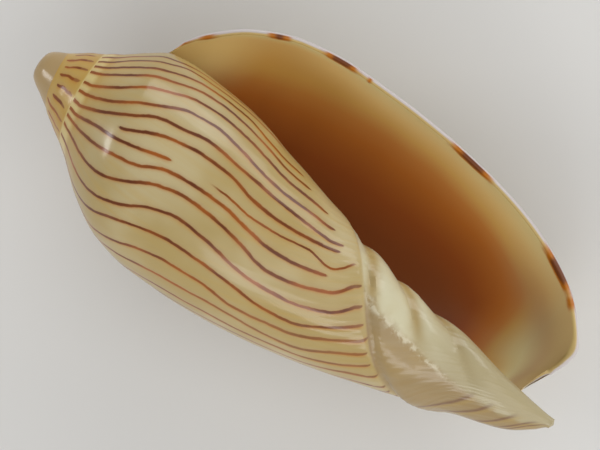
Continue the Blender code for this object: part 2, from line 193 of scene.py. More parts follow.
@dataclass(frozen=True)
class ShellForm:
    """Shape of the shell, swept in growth angle, the angle turned back from the lip's edge."""

    length: float = 90.0
    tip_radius: float = 0.75
    tip_crown: float = 0.35
    wall: float = 1.5
    lip_wall: float = 0.8
    scale_per_turn: float = 0.543
    spire_turns: int = 3
    whorl_swell: float = 0.1
    ridge_groove: float = 0.45
    ridge_swell: float = 0.2
    front_corner: float = 0.72
    notch: float = 0.8
    junction: float = 0.86
    hollow_depth: float = 240.0
    hollow_closes_from: float = 170.0
    canal_floor: float = 2.0
    suture_grip: float = 0.15
    suture_reach: float = 5.7
    plait_pitch: float = 0.0013
    plait_grooves: Numbers = (45.2, 52.3, 59.2, 66.6, 78.7)
    plait_heights: Numbers = (0.5, 1.3, 0.9, 0.9)
    plait_lean: float = 0.65
    plait_sharpness: float = 1.2
    suture: Curve = Curve(
        (0, 90, 180, 270, 360, 450, 540, 630, 720, 810, 900, 990, 1080),
        (14.6, 12.5, 10.1, 8.4, 7.4, 6.2, 4.9, 3.7, 2.7, 1.9, 1.4, 0.9, 0.7),
    )
    ridge: Curve = Curve(
        (0, 35, 90, 180, 270, 360, 450, 540, 720),
        (92.7, 87.2, 79.7, 68.7, 58.4, 48.7, 41.8, 36.1, 27.2),
    )
    spire: Curve = Curve(
        (0.0, 0.2, 0.5, 0.9, 1.5, 2.1, 2.7, 4.4, 5.5, 6.7, 7.8, 9.5, 11.2, 12.9, 15.4),
        (0.0, 1.4, 2.1, 2.5, 2.9, 3.2, 3.5, 4.6, 5.4, 6.1, 6.8, 7.9, 9.3, 10.6, 12.3),
    )
    body_stations: Numbers = (0.0, 0.008, 0.02, 0.05, 0.1, 0.2, 0.3, 0.4, 0.5, 0.6, 0.7, 0.8, 0.9, 1.0)
    body_at_lip: Numbers = (
        11.8, 13.7, 15.5, 18.2, 21.4, 24.7, 25.7, 25.6, 25.2, 24.4, 23.1, 21.1, 18.0, 13.3,
    )
    body_at_half: Numbers = (8.3, 8.6, 9.1, 10.6, 12.9, 15.9, 16.9, 16.9, 16.5, 15.7, 14.5, 13.0, 11.2, 9.4)
    body_at_turn: Numbers = (6.5, 6.7, 7.1, 7.9, 9.5, 12.1, 12.5, 12.3, 12.0, 11.3, 10.1, 9.1, 8.0, 7.1)
    pillar_stations: Numbers = (0.0, 0.1, 0.2, 0.3, 0.4, 0.5, 0.6, 0.7, 0.8, 0.9, 0.97, 1.0)
    pillar_at_half: Numbers = (9.4, 9.2, 8.6, 7.6, 6.8, 6.2, 5.6, 4.9, 3.9, 2.4, 1.3, 0.75)
    pillar_at_turn: Numbers = (7.1, 4.4, 3.9, 3.3, 2.8, 2.6, 2.15, 1.65, 1.45, 1.0, 0.8, 0.75)
    lean: Curve = Curve(
        (0.0, 0.3, 0.45, 0.6, 0.68, 0.72, 0.76, 0.8, 0.86, 1.0),
        (0.0, 0.0, 3.0, 14.0, 27.0, 36.0, 62.0, 92.0, 122.0, 150.0),
    )
    body_line: Curve = Curve(
        (0.0, 0.3, 0.45, 0.6, 0.66, 0.7, 0.72),
        (0.0, 0.405, 0.63, 0.86, 0.938, 0.983, 1.0),
    )
    front_line: Curve = Curve((0.72, 0.735, 0.76, 0.78, 0.8), (0.0, 0.8, 1.8, 2.6, 3.7))
    pillar_line: Curve = Curve((0.72, 0.76, 0.8, 0.86), (0.0, 0.29, 0.62, 1.0))
    tip_line: Curve = Curve((0.86, 0.93, 1.0), (85.2, 87.5, 90.0))

    def grown(self, angle: Array, at_lip: Array, at_half: Array, at_turn: Array) -> Array:
        """Radius between the three measured sections, shrinking steadily before them.

        Args:
            angle: Growth angles.
            at_lip: Radii of the section at the lip.
            at_half: Radii half a turn back.
            at_turn: Radii one turn back.

        Returns:
            The radius at each angle.
        """
        half = math.sqrt(self.scale_per_turn)
        known = [np.log(at_lip), np.log(at_half), np.log(at_turn)]
        known += [known[2] + n * math.log(half) for n in range(1, 4)]
        angle, *known = np.broadcast_arrays(angle, *known)
        known = np.stack(known, -1)
        at = np.clip(angle / 180.0, 0.0, 4.0)
        i = np.clip(np.floor(at).astype(int), 0, 3)
        t = at - i

        def pick(n: Array) -> Array:
            """Section number n of those known."""
            return np.take_along_axis(known, np.clip(n, 0, 5)[..., None], -1)[..., 0]

        first, second, third = pick(i), pick(i + 1), pick(i + 2)
        before = np.where(i == 0, 2 * first - second, pick(i - 1))
        rise, fall = (second - before) / 2, (third - first) / 2
        return np.exp(cubic(t, first, second, rise, fall))

    def body_radius(self, angle: Array, place: Array) -> Array:
        """Radius of the whorl between its suture and the ridge.

        Args:
            angle: Growth angles.
            place: Places along the axis.

        Returns:
            The radius at each point.
        """
        start = self.suture.at(angle)
        share = share_of(place, start, self.ridge.at(angle))
        rows = [
            Curve(self.body_stations, row).at(share)
            for row in (self.body_at_lip, self.body_at_half, self.body_at_turn)
        ]
        at_suture = self.grown(angle, self.body_at_lip[0], self.body_at_half[0], self.body_at_turn[0])
        grip = (self.spire.at(start) - at_suture) * fading(share, self.suture_grip)
        return self.grown(angle, *rows) + grip

    def plaits(self, angle: Array, place: Array) -> Array:
        """Height of the oblique folds that wind up the pillar like the strands of a rope.

        Args:
            angle: Growth angles.
            place: Places along the axis.

        Returns:
            The height of the folds at each point.
        """
        back = place * np.exp(self.plait_pitch * (angle - 360.0))
        height = np.zeros_like(back)
        for start, end, top in zip(self.plait_grooves, self.plait_grooves[1:], self.plait_heights):
            across = share_of(back, start, end) ** self.plait_lean
            height = height + top * np.sin(math.pi * across) ** self.plait_sharpness
        height = height * ease(0.0, 1.5, place - self.ridge.at(angle))
        return height * ease(200.0, 300.0, angle) * ease(self.length - 3.0, self.length - 11.0, place)

    def pillar_radius(self, angle: Array, place: Array) -> Array:
        """Radius of the fasciole and pillar, from the ridge to the front tip.

        Args:
            angle: Growth angles.
            place: Places along the axis.

        Returns:
            The radius at each point.
        """
        start = self.ridge.at(angle)
        share = share_of(place, start, self.length)
        at_ridge = self.grown(angle, self.body_at_lip[-1], self.body_at_half[-1], self.body_at_turn[-1])
        half = Curve(self.pillar_stations, self.pillar_at_half).at(share) / self.pillar_at_half[0]
        turn = Curve(self.pillar_stations, self.pillar_at_turn).at(share) / self.pillar_at_turn[0]
        blend = share_of(angle, 180.0, 360.0)
        radius = at_ridge * (half * (1 - blend) + turn * blend)
        radius = radius + (self.tip_radius - radius) * np.clip((share - 0.92) / 0.08, 0.0, 1.0) ** 2
        return radius + self.plaits(angle, place)

    def plain_radius(self, angle: Array, place: Array) -> Array:
        """Radius of the whorls and the pillar, without the groove behind the ridge.

        Args:
            angle: Growth angles.
            place: Places along the axis.

        Returns:
            The radius at each point.
        """
        angle, place = np.broadcast_arrays(np.asarray(angle, float), np.asarray(place, float))
        start, end = self.suture.at(angle), self.ridge.at(angle)
        next_suture = self.suture.at(np.maximum(angle - 360.0, 0.0))
        radius = np.where(place <= end, self.body_radius(angle, place), self.pillar_radius(angle, place))
        joined = self.spire.at(next_suture) - self.body_radius(angle, next_suture)
        older = joined * fading(place - next_suture, self.suture_reach)
        radius = radius + np.where((angle >= 360.0) & (place <= end), older, 0.0)
        band = np.clip((place - start) / np.maximum(next_suture - start, 1e-6), 0.0, 1.0)
        spire = self.spire.at(place) + self.whorl_swell * np.sin(math.pi * band)
        return np.where((angle >= 360.0) & (place <= next_suture), spire, radius)

    def relief(self, angle: Array, place: Array) -> Array:
        """Groove along the ridge, and the low swell in front of it.

        Args:
            angle: Growth angles.
            place: Places along the axis.

        Returns:
            The height of the relief at each point.
        """
        beyond = place - self.ridge.at(angle)
        groove = self.ridge_groove * hump(beyond, 0.4, 0.7) * ease(20.0, 60.0, angle)
        return self.ridge_swell * hump(beyond, 2.6, 1.4) - groove

    def radius(self, angle: Array, place: Array) -> Array:
        """Radius of the outer surface at growth angles and places."""
        return self.plain_radius(angle, place) + self.relief(angle, place)

    def line_place(self, turned: Array, along: Array) -> Array:
        """Place of the growth line that started a given angle ago.

        Args:
            turned: Angles turned back from the lip.
            along: Shares of the way down the growth line.

        Returns:
            The place along the axis.
        """
        angle = turned + self.lean.at(along)
        share = self.body_line.at(along)
        start = self.suture.at(angle)
        on_body = start + (self.ridge.at(angle) - start) * share
        notch_side = self.ridge.at(turned + self.lean.at(np.minimum(along, self.notch)))
        notch_side = notch_side + self.front_line.at(along)
        far_side = share_of(along, self.notch, self.junction)
        end = self.tip_line.values[0]
        notch_side = notch_side + (end - notch_side) * far_side
        corner = self.ridge.at(turned + self.lean.at(self.front_corner))
        on_pillar = corner + (end - corner) * self.pillar_line.at(along)
        on_front = notch_side + (on_pillar - notch_side) * ease(0.0, 200.0, turned)
        past_corner = np.where(along <= self.junction, on_front, self.tip_line.at(along))
        return np.where(along <= self.front_corner, on_body, past_corner)

    def points(self, angle: Array, place: Array, radius: Array) -> Array:
        """Points from cylinder coordinates: X along the axis, Y to the lip, Z out of the mouth.

        Args:
            angle: Growth angles.
            place: Places along the axis.
            radius: Distances from the axis.

        Returns:
            Points in millimetres about the axis.
        """
        turn = np.radians(angle)
        return np.stack([place, radius * np.cos(turn), -radius * np.sin(turn)], -1)

    def shoulder(self) -> float:
        """Share of the growth line where the older whorl meets the back corner of the mouth."""
        along = np.linspace(0.0, 0.3, 3001)
        return float(np.interp(self.suture.values[0], self.line_place(360.0, along), along))

    def flare(self, along: Array) -> Array:
        """How fully the pillar has opened out to the wall beside the notch."""
        return ease(self.junction - 0.02, self.junction, along)


@dataclass(frozen=True)
class ShellSurface:
    """Points of every sheet of the shell's surface, from its form and its fine growth relief."""

    form: ShellForm = ShellForm()
    wrinkle: float = 0.02
    fasciole_wrinkle: float = 0.012
    suture_welt: float = 0.1
    patch_wrinkle: float = 0.05
    corner_softness: float = 0.035
    closing: float = 40.0

    def growth_relief(self, turned: Array, along: Array) -> Array:
        """Low relief of growth lines, fading out where sheets meet.

        Args:
            turned: Angles turned back from the lip.
            along: Shares of the way down the growth line.

        Returns:
            The height of the relief at each point.
        """
        t, v = np.broadcast_arrays(np.asarray(turned, float), np.asarray(along, float))
        phase = 2.2 * np.sin(t / 31.0) + 1.4 * np.sin(t / 13.0 + 5 * v)
        lines = np.sin(t * 0.93 + phase + 3 * np.sin(9 * v)) + 0.6 * np.sin(t * 1.71 - phase + 5 * v)
        body = self.wrinkle * lines * (0.25 + 0.75 * ease(0.4, 0.68, v)) * (1 - 0.7 * ease(0.7, 0.76, v))
        patch = np.exp(-(((t - 200) / 22) ** 2) - ((v - 0.61) / 0.09) ** 2)
        body = body + self.patch_wrinkle * patch * np.sin(t * 1.25 + 40 * v + 2 * np.sin(t * 0.4))
        scars = np.sin(t * 0.41 + 1.6 * np.sin(t / 9.0) + 6 * v) + 0.4 * np.sin(t * 0.93 + 17 * v)
        front = self.fasciole_wrinkle * scars * ease(0.7, 0.74, v) * ease(1.0, 0.9, v)
        welt = self.suture_welt * hump(v, 0.012, 0.008) * ease(0.0, 0.006, v)
        ends = ease(0.0, 6.0, t) * ease(360.0, 350.0, t)
        body = body * ease(0.0, 0.03, v) * ease(0.98, 0.9, v)
        return (body + front) * ends + welt * ends

    def outer(self, turned: Array, along: Array, plain: bool = False) -> Array:
        """Outside of the last whorl, from the lip to one turn back.

        Args:
            turned: Angles turned back from the lip.
            along: Shares of the way down the growth line.
            plain: Whether to leave out the groove and all relief.

        Returns:
            Points in millimetres about the axis.
        """
        form = self.form
        radius_at = form.plain_radius if plain else form.radius
        angle = turned + form.lean.at(along)
        place = form.line_place(turned, along)
        radius = radius_at(angle, place)
        at_lip = np.maximum(along, form.junction)
        target = radius_at(form.lean.at(at_lip), form.line_place(0.0, at_lip))
        radius = radius + (target - radius) * form.flare(along) * ease(262.0, 360.0, turned)
        if not plain:
            radius = radius + self.growth_relief(turned, along)
        return form.points(angle, place, radius)

    def spire_band(self, angle: Array) -> tuple[Array, Array, Array]:
        """Where the older whorls begin and end, and how far the first of them has closed.

        Args:
            angle: Growth angles past one turn.

        Returns:
            The upper and the lower place along the axis, and the closing from 0 to 1.
        """
        form, first = self.form, 360.0 * self.form.spire_turns
        upper, lower = form.suture.at(angle), form.suture.at(angle - 360.0)
        close = ease(first - self.closing, first, angle)
        return upper + (lower - upper) * close, lower, close

    def spire(self, angle: Array, share: Array) -> Array:
        """Older whorls, from their suture to the next.

        Args:
            angle: Growth angles past one turn.
            share: Shares of the band's width.

        Returns:
            Points in millimetres about the axis.
        """
        form = self.form
        upper, lower, close = self.spire_band(angle)
        place = upper + (lower - upper) * share
        swell = form.whorl_swell * np.sin(math.pi * share) * (1 - close)
        fine = self.wrinkle * np.sin(angle * 0.9 + np.sin(angle / 17)) * np.sin(math.pi * share)
        fine = fine * ease(360, 372, angle) * ease(640, 560, angle)
        return form.points(angle, place, form.spire.at(place) + swell + fine)

    def outward(self, turned: Array, along: Array) -> Array:
        """Unit normals of the outer surface, leaving out the groove.

        Args:
            turned: Angles turned back from the lip.
            along: Shares of the way down the growth line.

        Returns:
            Unit vectors.
        """
        step = 0.25
        across = self.outer(turned + step, along, True) - self.outer(turned - step, along, True)
        before, after = np.clip(along - 0.002, 0.0, 1.0), np.clip(along + 0.002, 0.0, 1.0)
        down = self.outer(turned, after, True) - self.outer(turned, before, True)
        normal = np.cross(down, across)
        return normal / np.linalg.norm(normal, axis=-1, keepdims=True)

    def hollow_corners(self, turned: Array) -> tuple[tuple, tuple, Array]:
        """Where the hollow's two sides meet, below the suture and on the canal's floor.

        Args:
            turned: Angles turned back from the lip.

        Returns:
            Each corner as an angle, a place and a radius, and how far down the line the floor lies.
        """
        form = self.form
        need = 2 * form.lip_wall * ease(0.0, 25.0, turned)
        steps = np.linspace(0.0, 12.0, 241)[:, None]
        places = form.suture.at(turned) + steps
        gap = form.radius(turned, places) - form.radius(turned + 360.0, places)
        first = np.argmax(gap >= need, axis=0)
        top_place = form.suture.at(turned) + steps[first, 0] * ease(0.0, 10.0, turned)
        top_radius = (form.radius(turned, top_place) + form.radius(turned + 360.0, top_place)) / 2
        last = form.junction + (form.notch - form.junction) * ease(0.0, 70.0, turned)
        floor_angle = turned + form.lean.at(last)
        floor_place = form.line_place(turned, last)
        floor_radius = form.radius(floor_angle, floor_place) - form.canal_floor * ease(0.0, 30.0, turned)
        return (turned, top_place, top_radius), (floor_angle, floor_place, floor_radius), last

    def inner_side(self, turned: Array, along: Array) -> Array:
        """The hollow's inner side: the older whorl and the pillar inside the mouth.

        Args:
            turned: Angles turned back from the lip.
            along: Shares of the way down the growth line.

        Returns:
            Points in millimetres about the axis.
        """
        form = self.form
        top, floor, last = self.hollow_corners(turned)
        shoulder = form.shoulder()
        angle = 360.0 + turned + form.lean.at(last) * form.lean.at(along) / form.lean.at(form.junction)
        ends = form.line_place(360.0, np.array([shoulder, form.junction]))
        share = (form.line_place(360.0, along) - ends[0]) / (ends[1] - ends[0])
        place = top[1] + (floor[1] - top[1]) * share
        relief = form.plaits(angle, place) + form.relief(angle, place)
        radius = form.radius(angle, place) - relief * ease(100.0, 200.0, turned)
        corner = top[2] - form.radius(360.0 + turned, top[1])
        radius = radius + corner * fading(along - shoulder, 0.05)
        radius = radius + (floor[2] - radius) * form.flare(along)
        return form.points(angle, place, radius)

    def wall_points(self, turned: Array, along: Array, raised: Array) -> Array:
        """Points one wall's thickness inside the outer surface.

        Args:
            turned: Angles turned back from the lip.
            along: Shares of the way down the growth line.
            raised: How far past the suture the hollow's back corner lies.

        Returns:
            Points in millimetres about the axis.
        """
        form = self.form
        angle = turned + form.lean.at(along)
        place = form.line_place(turned, along) + raised * fading(along, 0.3)
        wall = form.lip_wall + (form.wall - form.lip_wall) * ease(0.0, 40.0, turned)
        side = form.points(angle, place, form.plain_radius(angle, place))
        return side - self.outward(turned, along) * wall[..., None]

    def outer_side(self, turned: Array, along: Array) -> Array:
        """The hollow's outer side: the inside of the wall behind the lip.

        Args:
            turned: Angles turned back from the lip.
            along: Shares of the way down the growth line.

        Returns:
            Points in millimetres about the axis.
        """
        form = self.form
        top, floor, last = self.hollow_corners(turned)
        near = along * last / form.junction
        raised = top[1] - form.suture.at(turned)
        reach = self.corner_softness * ease(0.6, 0.7, near)
        shifts = (-1.0, -0.5, 0.0, 0.5, 1.0)
        side = sum(self.wall_points(turned, near + reach * shift, raised) for shift in shifts) / len(shifts)
        at_top, at_floor = form.points(*top), form.points(*floor)
        near_top = fading(along, 0.04)[..., None]
        near_floor = ease(form.junction - 0.03, form.junction, along)[..., None]
        side = side + (at_top - side[:1]) * near_top + (at_floor - side[-1:]) * near_floor
        to_end = share_of(turned, form.hollow_closes_from, form.hollow_depth)
        still_open = np.sqrt(1 - to_end**2)[..., None]
        end = self.inner_side(turned, np.maximum(along, form.shoulder()))
        return end + (side - end) * still_open

    def rim(self, along: Array, steps: int) -> Array:
        """Rounded edge of the lip, from the outside to the inside.

        Args:
            along: Shares of the way down the lip.
            steps: How many steps round the edge.

        Returns:
            Points in millimetres about the axis.
        """
        outside = self.outer(np.zeros_like(along), along)
        inside = self.outer_side(np.zeros(1), along[:, None])[:, 0]
        middle, half = (outside + inside) / 2, (outside - inside) / 2
        forward = outside - self.outer(np.full_like(along, 0.5), along, True)
        down = np.gradient(outside, axis=0)
        down /= np.linalg.norm(down, axis=-1, keepdims=True)
        forward -= down * (forward * down).sum(-1, keepdims=True)
        forward /= np.linalg.norm(forward, axis=-1, keepdims=True)
        width = np.linalg.norm(half, axis=-1, keepdims=True)
        turns = [math.pi * step / steps for step in range(steps + 1)]
        rows = [middle + half * math.cos(turn) + forward * width * math.sin(turn) for turn in turns]
        return np.stack(rows, 1)

    def spire_cap(self, angle: Array, share: Array) -> Array:
        """Top of the spire, from the last suture to its middle.

        Args:
            angle: Growth angles of the last turn.
            share: Shares of the way in.

        Returns:
            Points in millimetres about the axis.
        """
        place = self.spire_band(angle)[0] * (1 - share) ** 2
        return self.form.points(angle, place, self.form.spire.at(place))

    def tip_cap(self, turned: Array, share: Array) -> Array:
        """Blunt front tip, from its edge to its middle.

        Args:
            turned: Angles turned back from the lip.
            share: Shares of the way in.

        Returns:
            Points in millimetres about the axis.
        """
        form = self.form
        edge = self.outer(turned, np.ones_like(turned))
        middle = np.array([form.length + form.tip_crown, 0.0, 0.0])
        return edge * (1 - share[..., None]) + middle * share[..., None]


@dataclass(frozen=True)
class DrawnLine:
    """One brown line of the pattern, read at the plan's stations down the whorl."""

    angles: Numbers
    begins: float = -0.1
    ends: float = 0.71
    gap: tuple[float, float] | None = None
    weight: float = 1.0
    after_gap: float = 0.5


@dataclass(frozen=True)
class LinePlan:
    """The pattern of wavy lines: those that the front shows one by one, and regular ones behind."""

    stations: Numbers = (0.02, 0.08, 0.14, 0.2, 0.26, 0.32, 0.38, 0.44, 0.5, 0.56, 0.62, 0.68)
    drawn: tuple[DrawnLine, ...] = (
        DrawnLine((329, 333, 333, 338, 342, 344, 344, 344, 344, 344, 344, 344), ends=0.5),
        DrawnLine((317, 323, 324, 331, 334, 336, 336, 335, 335, 335, 335, 335), ends=0.48, weight=0.8),
        DrawnLine((307, 312, 315, 321, 326, 328, 327, 321, 319, 319, 319, 319), ends=0.53),
        DrawnLine((297, 302, 307, 312, 318, 320, 318, 314, 310, 309, 309, 309), ends=0.55),
        DrawnLine((282, 289, 297, 303, 309, 311, 309, 305, 301, 299, 297, 297), ends=0.6),
        DrawnLine((271, 277, 285, 292, 299, 301, 298, 293, 290, 288, 285, 285), ends=0.62),
        DrawnLine((259, 268, 276, 284, 287, 290, 288, 285, 282, 278, 274, 273), ends=0.645),
        DrawnLine((254, 263, 267, 274, 279, 281, 280, 274, 271, 269, 268, 267), begins=0.137, ends=0.635),
        DrawnLine(
            (249, 257, 260, 264, 268, 270, 269, 265, 263, 262, 254, 259), ends=0.685, gap=(0.258, 0.345)
        ),
        DrawnLine((241, 246, 251, 255, 262, 264, 263, 258, 252, 249, 248, 248), ends=0.605),
        DrawnLine((230, 232, 237, 245, 253, 256, 254, 248, 239, 237, 237, 242), ends=0.7),
        DrawnLine((215, 217, 223, 231, 240, 244, 241, 234, 228, 224, 223, 226), ends=0.7),
        DrawnLine((197, 201, 211, 221, 227, 230, 228, 223, 215, 210, 212, 212), ends=0.7),
        DrawnLine((185, 190, 195, 205, 213, 217, 216, 209, 205, 201, 202, 200), ends=0.71),
        DrawnLine((174, 178, 183, 194, 200, 204, 204, 201, 194, 189, 191, 189), ends=0.7),
        DrawnLine((162, 167, 171, 179, 187, 192, 192, 189, 185, 180, 179, 178), ends=0.7),
        DrawnLine((151, 156, 160, 168, 175, 182, 182, 180, 175, 170, 170, 166), ends=0.71),
        DrawnLine((141, 145, 149, 156, 164, 170, 170, 168, 164, 160, 157, 152), ends=0.71),
    )
    wave: Curve = Curve(
        (0.0, 0.08, 0.14, 0.2, 0.26, 0.32, 0.38, 0.44, 0.5, 0.56, 0.62, 0.68, 0.72),
        (0.0, 2.0, 7.0, 16.0, 25.0, 29.0, 27.0, 21.0, 14.0, 10.0, 9.0, 12.0, 16.0),
    )
    older: int = 28
    newer: int = 16
    older_step: float = 17.0
    newer_first: float = 131.0
    newer_step: float = 10.6
    least_gap: float = 3.0

    def jitter(self, number: Array, salt: float) -> Array:
        """Repeatable wobble between -1 and 1 for a line's number."""
        return np.sin(number * 12.9898 + salt * 78.233) * np.cos(number * 4.31 + salt)

    def angles(self, along: float) -> Array:
        """Growth angles of every line at one station, oldest first.

        Args:
            along: Share of the way down the growth line.

        Returns:
            One falling angle for each line.
        """
        drawn = np.array([Curve(self.stations, line.angles).at(along) for line in self.drawn])
        back = np.arange(self.older, 0, -1)
        old = drawn[0] + self.older_step * back
        on = np.arange(self.newer)
        swing = 0.82 + 0.16 * self.jitter(on, 1.0)
        new = self.newer_first - self.newer_step * on + 1.6 * self.jitter(on, 2.0)
        new = new + self.wave.at(along) * swing + 2.5 * np.sin(9 * along + 2 * on) * ease(0.1, 0.4, along)
        every = np.concatenate([old, drawn, new])
        index = np.arange(len(every)) * self.least_gap
        return np.minimum.accumulate(every + index) - index

    def count(self, turned: Array, along: Array) -> Array:
        """Stripe number at each point, a whole number on each line and rising towards the lip.

        Args:
            turned: One row of growth angles.
            along: One column of shares down the growth line.

        Returns:
            A grid of stripe numbers.
        """
        number = np.arange(-self.older, len(self.drawn) + self.newer, dtype=float)
        rows = []
        for share in along:
            angle = self.angles(float(share))
            rows.append(Curve(tuple(angle[::-1]), tuple(number[::-1])).at(turned))
        return np.stack(rows)

    def ink(self, count: Array, along: Array) -> Array:
        """How strongly the nearest line is drawn at each point.

        Args:
            count: Grid of stripe numbers.
            along: One column of shares down the growth line.

        Returns:
            A grid from 0 for none to 1 for the full line.
        """
        nearest = np.round(count)
        v = np.broadcast_to(np.asarray(along)[:, None], count.shape)
        strength = (0.85 + 0.15 * self.jitter(nearest, 3.0)) * ease(0.72, 0.695, v) * ease(-0.01, 0.012, v)
        for number, line in enumerate(self.drawn):
            here = line.weight * ease(line.begins - 0.01, line.begins + 0.004, v)
            here = here * ease(line.ends + 0.012, line.ends - 0.012, v)
            if line.gap:
                start, end = line.gap
                middle = (start + end) / 2
                resumed = line.after_gap * ease(end - 0.01, end + 0.05, v)
                here = here * np.where(v > middle, resumed, 1.0)
                here = here * ease(start + 0.01, start - 0.006, np.where(v < middle, v, 0.0))
            strength = np.where(nearest == number, here, strength)
        return strength

    def older_ink(self, count: Array, angle: Array, share: Array) -> Array:
        """How strongly the short lines of the older whorls are drawn.

        Args:
            count: Grid of stripe numbers.
            angle: Grid of growth angles.
            share: Grid of shares of the band's width.

        Returns:
            A grid from 0 for none to 1 for the full line.
        """
        nearest = np.round(count)
        starts = 0.2 + 0.12 * self.jitter(nearest, 5.0)
        ends = 0.86 + 0.08 * self.jitter(nearest, 6.0)
        strength = ease(starts - 0.06, starts + 0.06, share) * ease(ends + 0.05, ends - 0.08, share)
        return 0.85 * strength * ease(765.0, 735.0, angle)


@dataclass(frozen=True)
class LipSpots:
    """Amber spots on the lip's edge: where each lies down the lip, its half width and strength."""

    spots: tuple[tuple[float, float, float], ...] = (
        (0.012, 0.006, 0.5),
        (0.03, 0.008, 0.6),
        (0.112, 0.012, 0.9),
        (0.205, 0.022, 1.0),
        (0.25, 0.004, 0.5),
        (0.415, 0.028, 1.0),
        (0.585, 0.03, 1.0),
        (0.632, 0.012, 0.5),
    )

    def at(self, along: Array) -> Array:
        """Strength of the spots at each share down the lip."""
        strength = np.zeros_like(along)
        for middle, half, top in self.spots:
            strength = np.maximum(strength, top * hump(along, middle, half))
        return strength


@dataclass(frozen=True)
class Sheet:
    """A grid of points with the values that the finish reads at each."""

    points: Array
    turned: Array
    along: Array
    side: Side
    count: Array
    ink: Array
    angle: Array
    place: Array
    plain_pitch: float = 0.2

    def pitch(self) -> Array:
        """How many stripes there are in a millimetre, across the lines, at each point."""
        if self.count.shape != self.turned.shape:
            return np.full(self.turned.shape, self.plain_pitch)
        down, across = np.gradient(self.points, axis=(0, 1))
        count_down, count_across = np.gradient(self.count)
        e, f, g = (down**2).sum(-1), (down * across).sum(-1), (across**2).sum(-1)
        area = np.maximum(e * g - f * f, TINY)
        square = (count_down**2 * g - 2 * count_down * count_across * f + count_across**2 * e) / area
        return np.sqrt(np.clip(square, 0.0025, 4.0))


